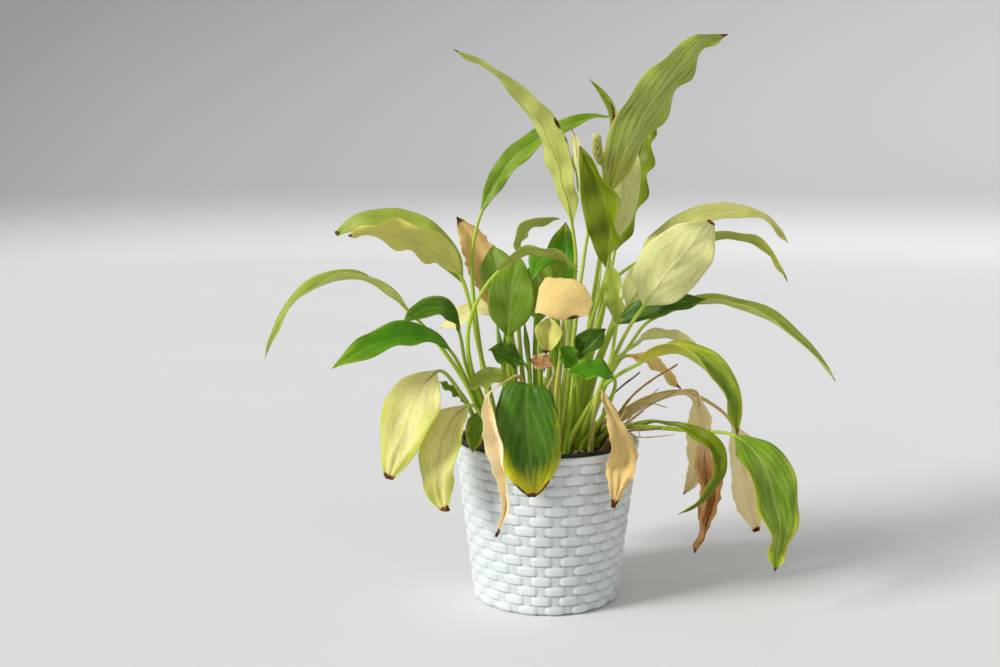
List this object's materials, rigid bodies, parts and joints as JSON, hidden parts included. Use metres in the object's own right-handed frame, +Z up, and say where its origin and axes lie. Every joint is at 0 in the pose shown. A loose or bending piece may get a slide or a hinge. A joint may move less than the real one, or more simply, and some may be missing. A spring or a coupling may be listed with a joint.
{
  "type": "wilting houseplant in a pot",
  "caption": "Wilting peace lily with yellowing, drooping and dried leaves and a faded flower, in a white pot with a moulded basket weave; ornament and litter prop.",
  "frame": {"origin": "centre of the pot's underside, on the surface it stands on", "axes": "+Z up along the pot's axis, -Y towards the front of the plant as pictured, +X to its right"},
  "size_m": [0.4265, 0.2053, 0.4328],
  "materials": {
    "pot_plastic": "satin",
    "black_plastic": "satin",
    "soil": "rough and crumbly",
    "leaf_fresh": "waxy",
    "leaf_dark": "waxy",
    "leaf_pale": "dull, veined",
    "leaf_yellow": "dull, veined",
    "leaf_cream": "dry and papery",
    "leaf_dry": "dry and crinkled",
    "dry_stalk": "dry",
    "flower": "dull"
  },
  "bodies": {
    "root": {"pot": "pot_plastic", "grower_pot": "black_plastic", "soil": "soil", "tall_left_leaf": "leaf_pale", "tall_right_leaf": "leaf_pale", "wavy_back_leaf": "leaf_dark", "pale_back_leaf": "leaf_pale", "folded_dark_leaf": "leaf_dark", "pale_upright_leaf": "leaf_pale", "left_riser_leaf": "leaf_fresh", "upper_left_top_leaf": "leaf_fresh", "upper_left_under_leaf": "leaf_pale", "long_left_leaf": "leaf_pale", "dark_left_upper_leaf": "leaf_dark", "dark_left_lower_leaf": "leaf_dark", "yellow_hang_left_leaf": "leaf_yellow", "yellow_hang_low_leaf": "leaf_yellow", "small_hang_leaf": "leaf_fresh", "small_left_leaf": "leaf_fresh", "cream_hang_left_leaf": "leaf_cream", "big_front_leaf": "leaf_dark", "olive_mid_leaf": "leaf_pale", "cream_hang_right_leaf": "leaf_cream", "right_low_curl_leaf": "leaf_fresh", "right_big_hang_leaf": "leaf_dark", "dry_brown_hang_leaf": "leaf_dry", "cream_back_1_leaf": "leaf_cream", "cream_back_2_leaf": "leaf_cream", "right_arch_leaf": "leaf_pale", "right_arch_back_leaf": "leaf_pale", "dark_right_leaf": "leaf_dark", "long_right_leaf": "leaf_pale", "pale_face_leaf": "leaf_pale", "pale_top_right_leaf": "leaf_pale", "thin_right_leaf": "leaf_pale", "pale_mid_right_leaf": "leaf_pale", "bud_leaf": "leaf_fresh", "tan_center_leaf": "leaf_dry", "arch_green_leaf": "leaf_fresh", "broad_left_leaf": "leaf_fresh", "broad_mid_leaf": "leaf_fresh", "broad_right_leaf": "leaf_fresh", "curl_top_leaf": "leaf_pale", "olive_back_leaf": "leaf_dark", "pink_dry_leaf": "leaf_dry", "pale_left_back_leaf": "leaf_yellow", "cream_fold_leaf": "leaf_cream", "dark_low_leaf": "leaf_dark", "green_low_leaf": "leaf_fresh", "green_flat_leaf": "leaf_fresh", "dark_right_mid_leaf": "leaf_dark", "brown_bit_leaf": "leaf_dry", "tan_behind_right_leaf": "leaf_dry", "back_hang_leaf": "leaf_pale", "back_rise_leaf": "leaf_fresh", "flower_stalk": "flower", "flower_hood": "flower", "brown_stalk": "dry_stalk", "ochre_stalk": "dry_stalk", "rim_twig": "dry_stalk"}
  },
  "joints": []
}
